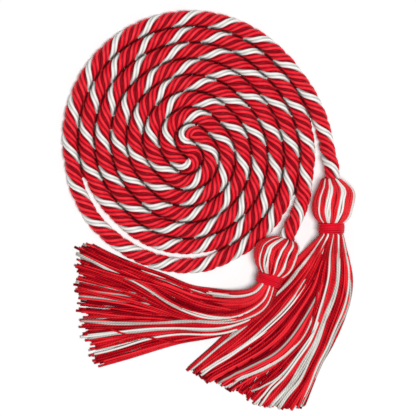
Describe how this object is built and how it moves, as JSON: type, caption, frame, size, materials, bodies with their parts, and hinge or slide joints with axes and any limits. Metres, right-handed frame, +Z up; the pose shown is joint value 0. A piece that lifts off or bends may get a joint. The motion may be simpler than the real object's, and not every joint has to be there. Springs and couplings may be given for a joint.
{
  "type": "honor cord",
  "caption": "Twisted red and white rope laid flat in a round double spiral, with a barrel-headed yarn tassel on each end.",
  "frame": {"origin": "on the floor under the middle of the spiral, on the flat underside of the rope's middle pass", "axes": "+Z up from the floor, +Y away from the tassels across the spiral, +X towards the tassels' heads"},
  "size_m": [0.1306, 0.1793, 0.0196],
  "materials": {
    "rope": "satin rayon rope of three twisted strands, two red and one white, each of several plies",
    "yarn": "satin rayon yarn, red with stripes of white, cut at the ends",
    "thread": "close turns of red thread with a low sheen"
  },
  "bodies": {
    "root": {"cord": "rope", "tassel_right": "yarn", "tassel_left": "yarn", "neck_wrap_right": "thread", "neck_wrap_left": "thread"}
  },
  "joints": []
}
